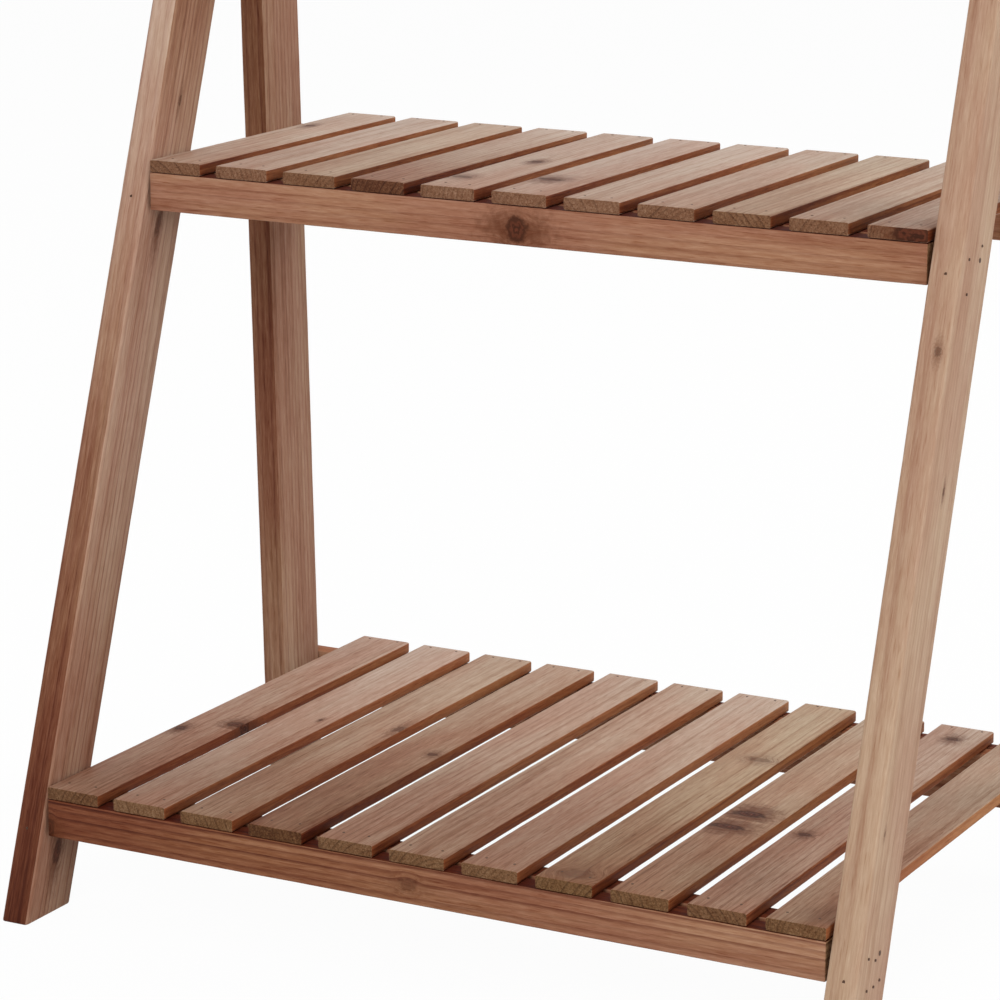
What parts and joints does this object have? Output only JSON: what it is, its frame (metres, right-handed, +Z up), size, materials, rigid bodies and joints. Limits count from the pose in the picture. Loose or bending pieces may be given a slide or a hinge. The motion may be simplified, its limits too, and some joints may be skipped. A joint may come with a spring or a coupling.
{
  "type": "tiered plant stand",
  "caption": "Folding slatted wooden plant stand: an A-frame of leaning front legs and nearly upright back legs, with stepped shelves that grow deeper towards the floor.",
  "frame": {"origin": "on the floor, centred left to right and front to back between the toes of the front legs and the rear edge of the lowest shelf", "axes": "+Z up, +X to the right along the shelves, +Y from the front of the stand to its back"},
  "size_m": [0.6054, 0.4066, 0.9174],
  "materials": {
    "leg_wood": "oiled softwood, planed square, edges eased",
    "slat_wood": "oiled softwood with knots, planed",
    "rail_wood": "oiled softwood, planed",
    "bar_wood": "oiled softwood, planed",
    "zinc_steel": "bright zinc-plated steel",
    "pin_steel": "plain steel rod, browned by the stain"
  },
  "bodies": {
    "front_frame": {"front_leg_left": "leg_wood", "front_leg_right": "leg_wood", "leg_bolts": "zinc_steel", "leg_bolt_washers": "zinc_steel", "leg_bolt_nuts": "zinc_steel", "shelf_pins": "pin_steel"},
    "back_frame": {"back_leg_left": "leg_wood", "back_leg_right": "leg_wood", "back_bar_lower": "bar_wood", "back_bar_middle": "bar_wood", "back_bar_upper": "bar_wood", "back_bar_screws": "zinc_steel"},
    "lower_shelf": {"lower_shelf_slat_01": "slat_wood", "lower_shelf_slat_02": "slat_wood", "lower_shelf_slat_03": "slat_wood", "lower_shelf_slat_04": "slat_wood", "lower_shelf_slat_05": "slat_wood", "lower_shelf_slat_06": "slat_wood", "lower_shelf_slat_07": "slat_wood", "lower_shelf_slat_08": "slat_wood", "lower_shelf_slat_09": "slat_wood", "lower_shelf_slat_10": "slat_wood", "lower_shelf_slat_11": "slat_wood", "lower_shelf_front_rail": "rail_wood", "lower_shelf_pivot_rail": "rail_wood", "lower_shelf_rear_rail": "rail_wood"},
    "middle_shelf": {"middle_shelf_slat_01": "slat_wood", "middle_shelf_slat_02": "slat_wood", "middle_shelf_slat_03": "slat_wood", "middle_shelf_slat_04": "slat_wood", "middle_shelf_slat_05": "slat_wood", "middle_shelf_slat_06": "slat_wood", "middle_shelf_slat_07": "slat_wood", "middle_shelf_slat_08": "slat_wood", "middle_shelf_slat_09": "slat_wood", "middle_shelf_slat_10": "slat_wood", "middle_shelf_slat_11": "slat_wood", "middle_shelf_front_rail": "rail_wood", "middle_shelf_pivot_rail": "rail_wood", "middle_shelf_rear_rail": "rail_wood"},
    "upper_shelf": {"upper_shelf_slat_01": "slat_wood", "upper_shelf_slat_02": "slat_wood", "upper_shelf_slat_03": "slat_wood", "upper_shelf_slat_04": "slat_wood", "upper_shelf_slat_05": "slat_wood", "upper_shelf_slat_06": "slat_wood", "upper_shelf_slat_07": "slat_wood", "upper_shelf_slat_08": "slat_wood", "upper_shelf_slat_09": "slat_wood", "upper_shelf_slat_10": "slat_wood", "upper_shelf_slat_11": "slat_wood", "upper_shelf_front_rail": "rail_wood", "upper_shelf_pivot_rail": "rail_wood", "upper_shelf_rear_rail": "rail_wood"}
  },
  "joints": [
    {"name": "frame_fold", "type": "hinge", "parent": "front_frame", "child": "back_frame", "pos_m": [0, 0.11792, 0.89737], "axis": [-1, 0, 0], "range_deg": [0, 20.8]},
    {"name": "lower_shelf_pivot", "type": "hinge", "parent": "front_frame", "child": "lower_shelf", "pos_m": [0, -0.15274, 0.063], "axis": [1, 0, 0], "range_deg": [0, 70.8]},
    {"name": "middle_shelf_pivot", "type": "hinge", "parent": "front_frame", "child": "middle_shelf", "pos_m": [0, -0.03009, 0.433], "axis": [1, 0, 0], "range_deg": [0, 70.8]},
    {"name": "upper_shelf_pivot", "type": "hinge", "parent": "front_frame", "child": "upper_shelf", "pos_m": [0, 0.09256, 0.803], "axis": [1, 0, 0], "range_deg": [0, 70.8]}
  ],
  "couplings": [
    {"joint": "lower_shelf_pivot", "follows": "frame_fold", "ratio": 3.4},
    {"joint": "middle_shelf_pivot", "follows": "frame_fold", "ratio": 3.4},
    {"joint": "upper_shelf_pivot", "follows": "frame_fold", "ratio": 3.4}
  ]
}
